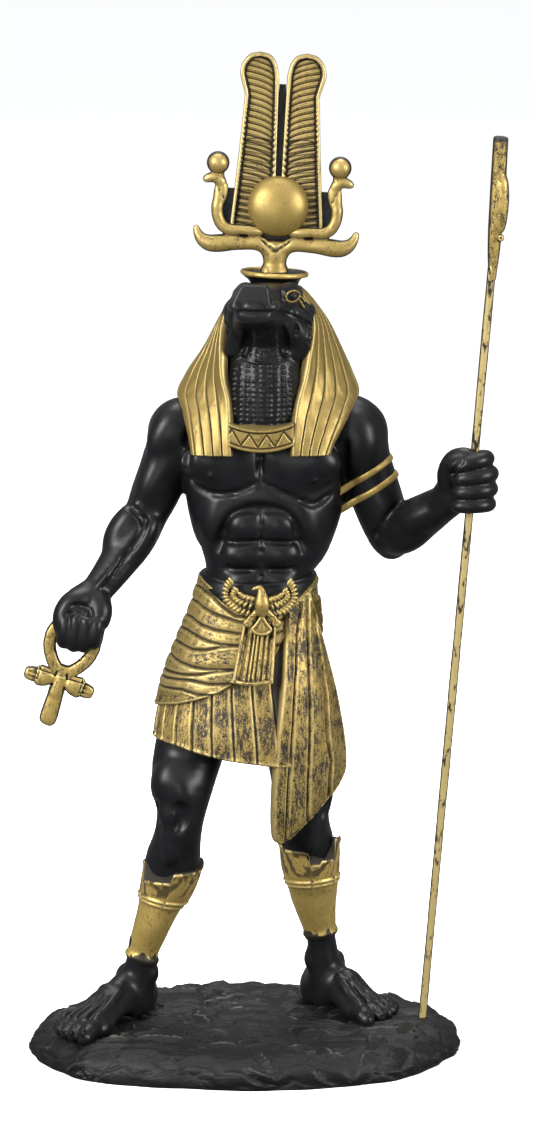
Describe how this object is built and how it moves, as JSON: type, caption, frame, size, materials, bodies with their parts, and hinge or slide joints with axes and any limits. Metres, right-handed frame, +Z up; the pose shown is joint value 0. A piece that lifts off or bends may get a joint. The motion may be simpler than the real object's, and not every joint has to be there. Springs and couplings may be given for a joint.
{
  "type": "crocodile-headed god figurine",
  "caption": "Standing crocodile-headed Egyptian figurine with plumed crown, tall staff and ankh on a low rocky base, cast in resin and painted black and antique gold.",
  "frame": {"origin": "centre of the flat underside of the base", "axes": "+Z up along the figure, -Y towards the figure's front, +X towards the hand that holds the staff"},
  "size_m": [0.1416, 0.091, 0.3002],
  "materials": {
    "black_paint": "cold-cast resin painted satin to gloss black, with a faint blue-grey sheen; matte on the rocky base",
    "antique_gold": "antique gold paint dry-brushed over black, bright on high places and dark in the recesses"
  },
  "bodies": {
    "root": {"figure": "black_paint", "crown": "antique_gold", "staff": "antique_gold", "ankh": "antique_gold"}
  },
  "joints": []
}
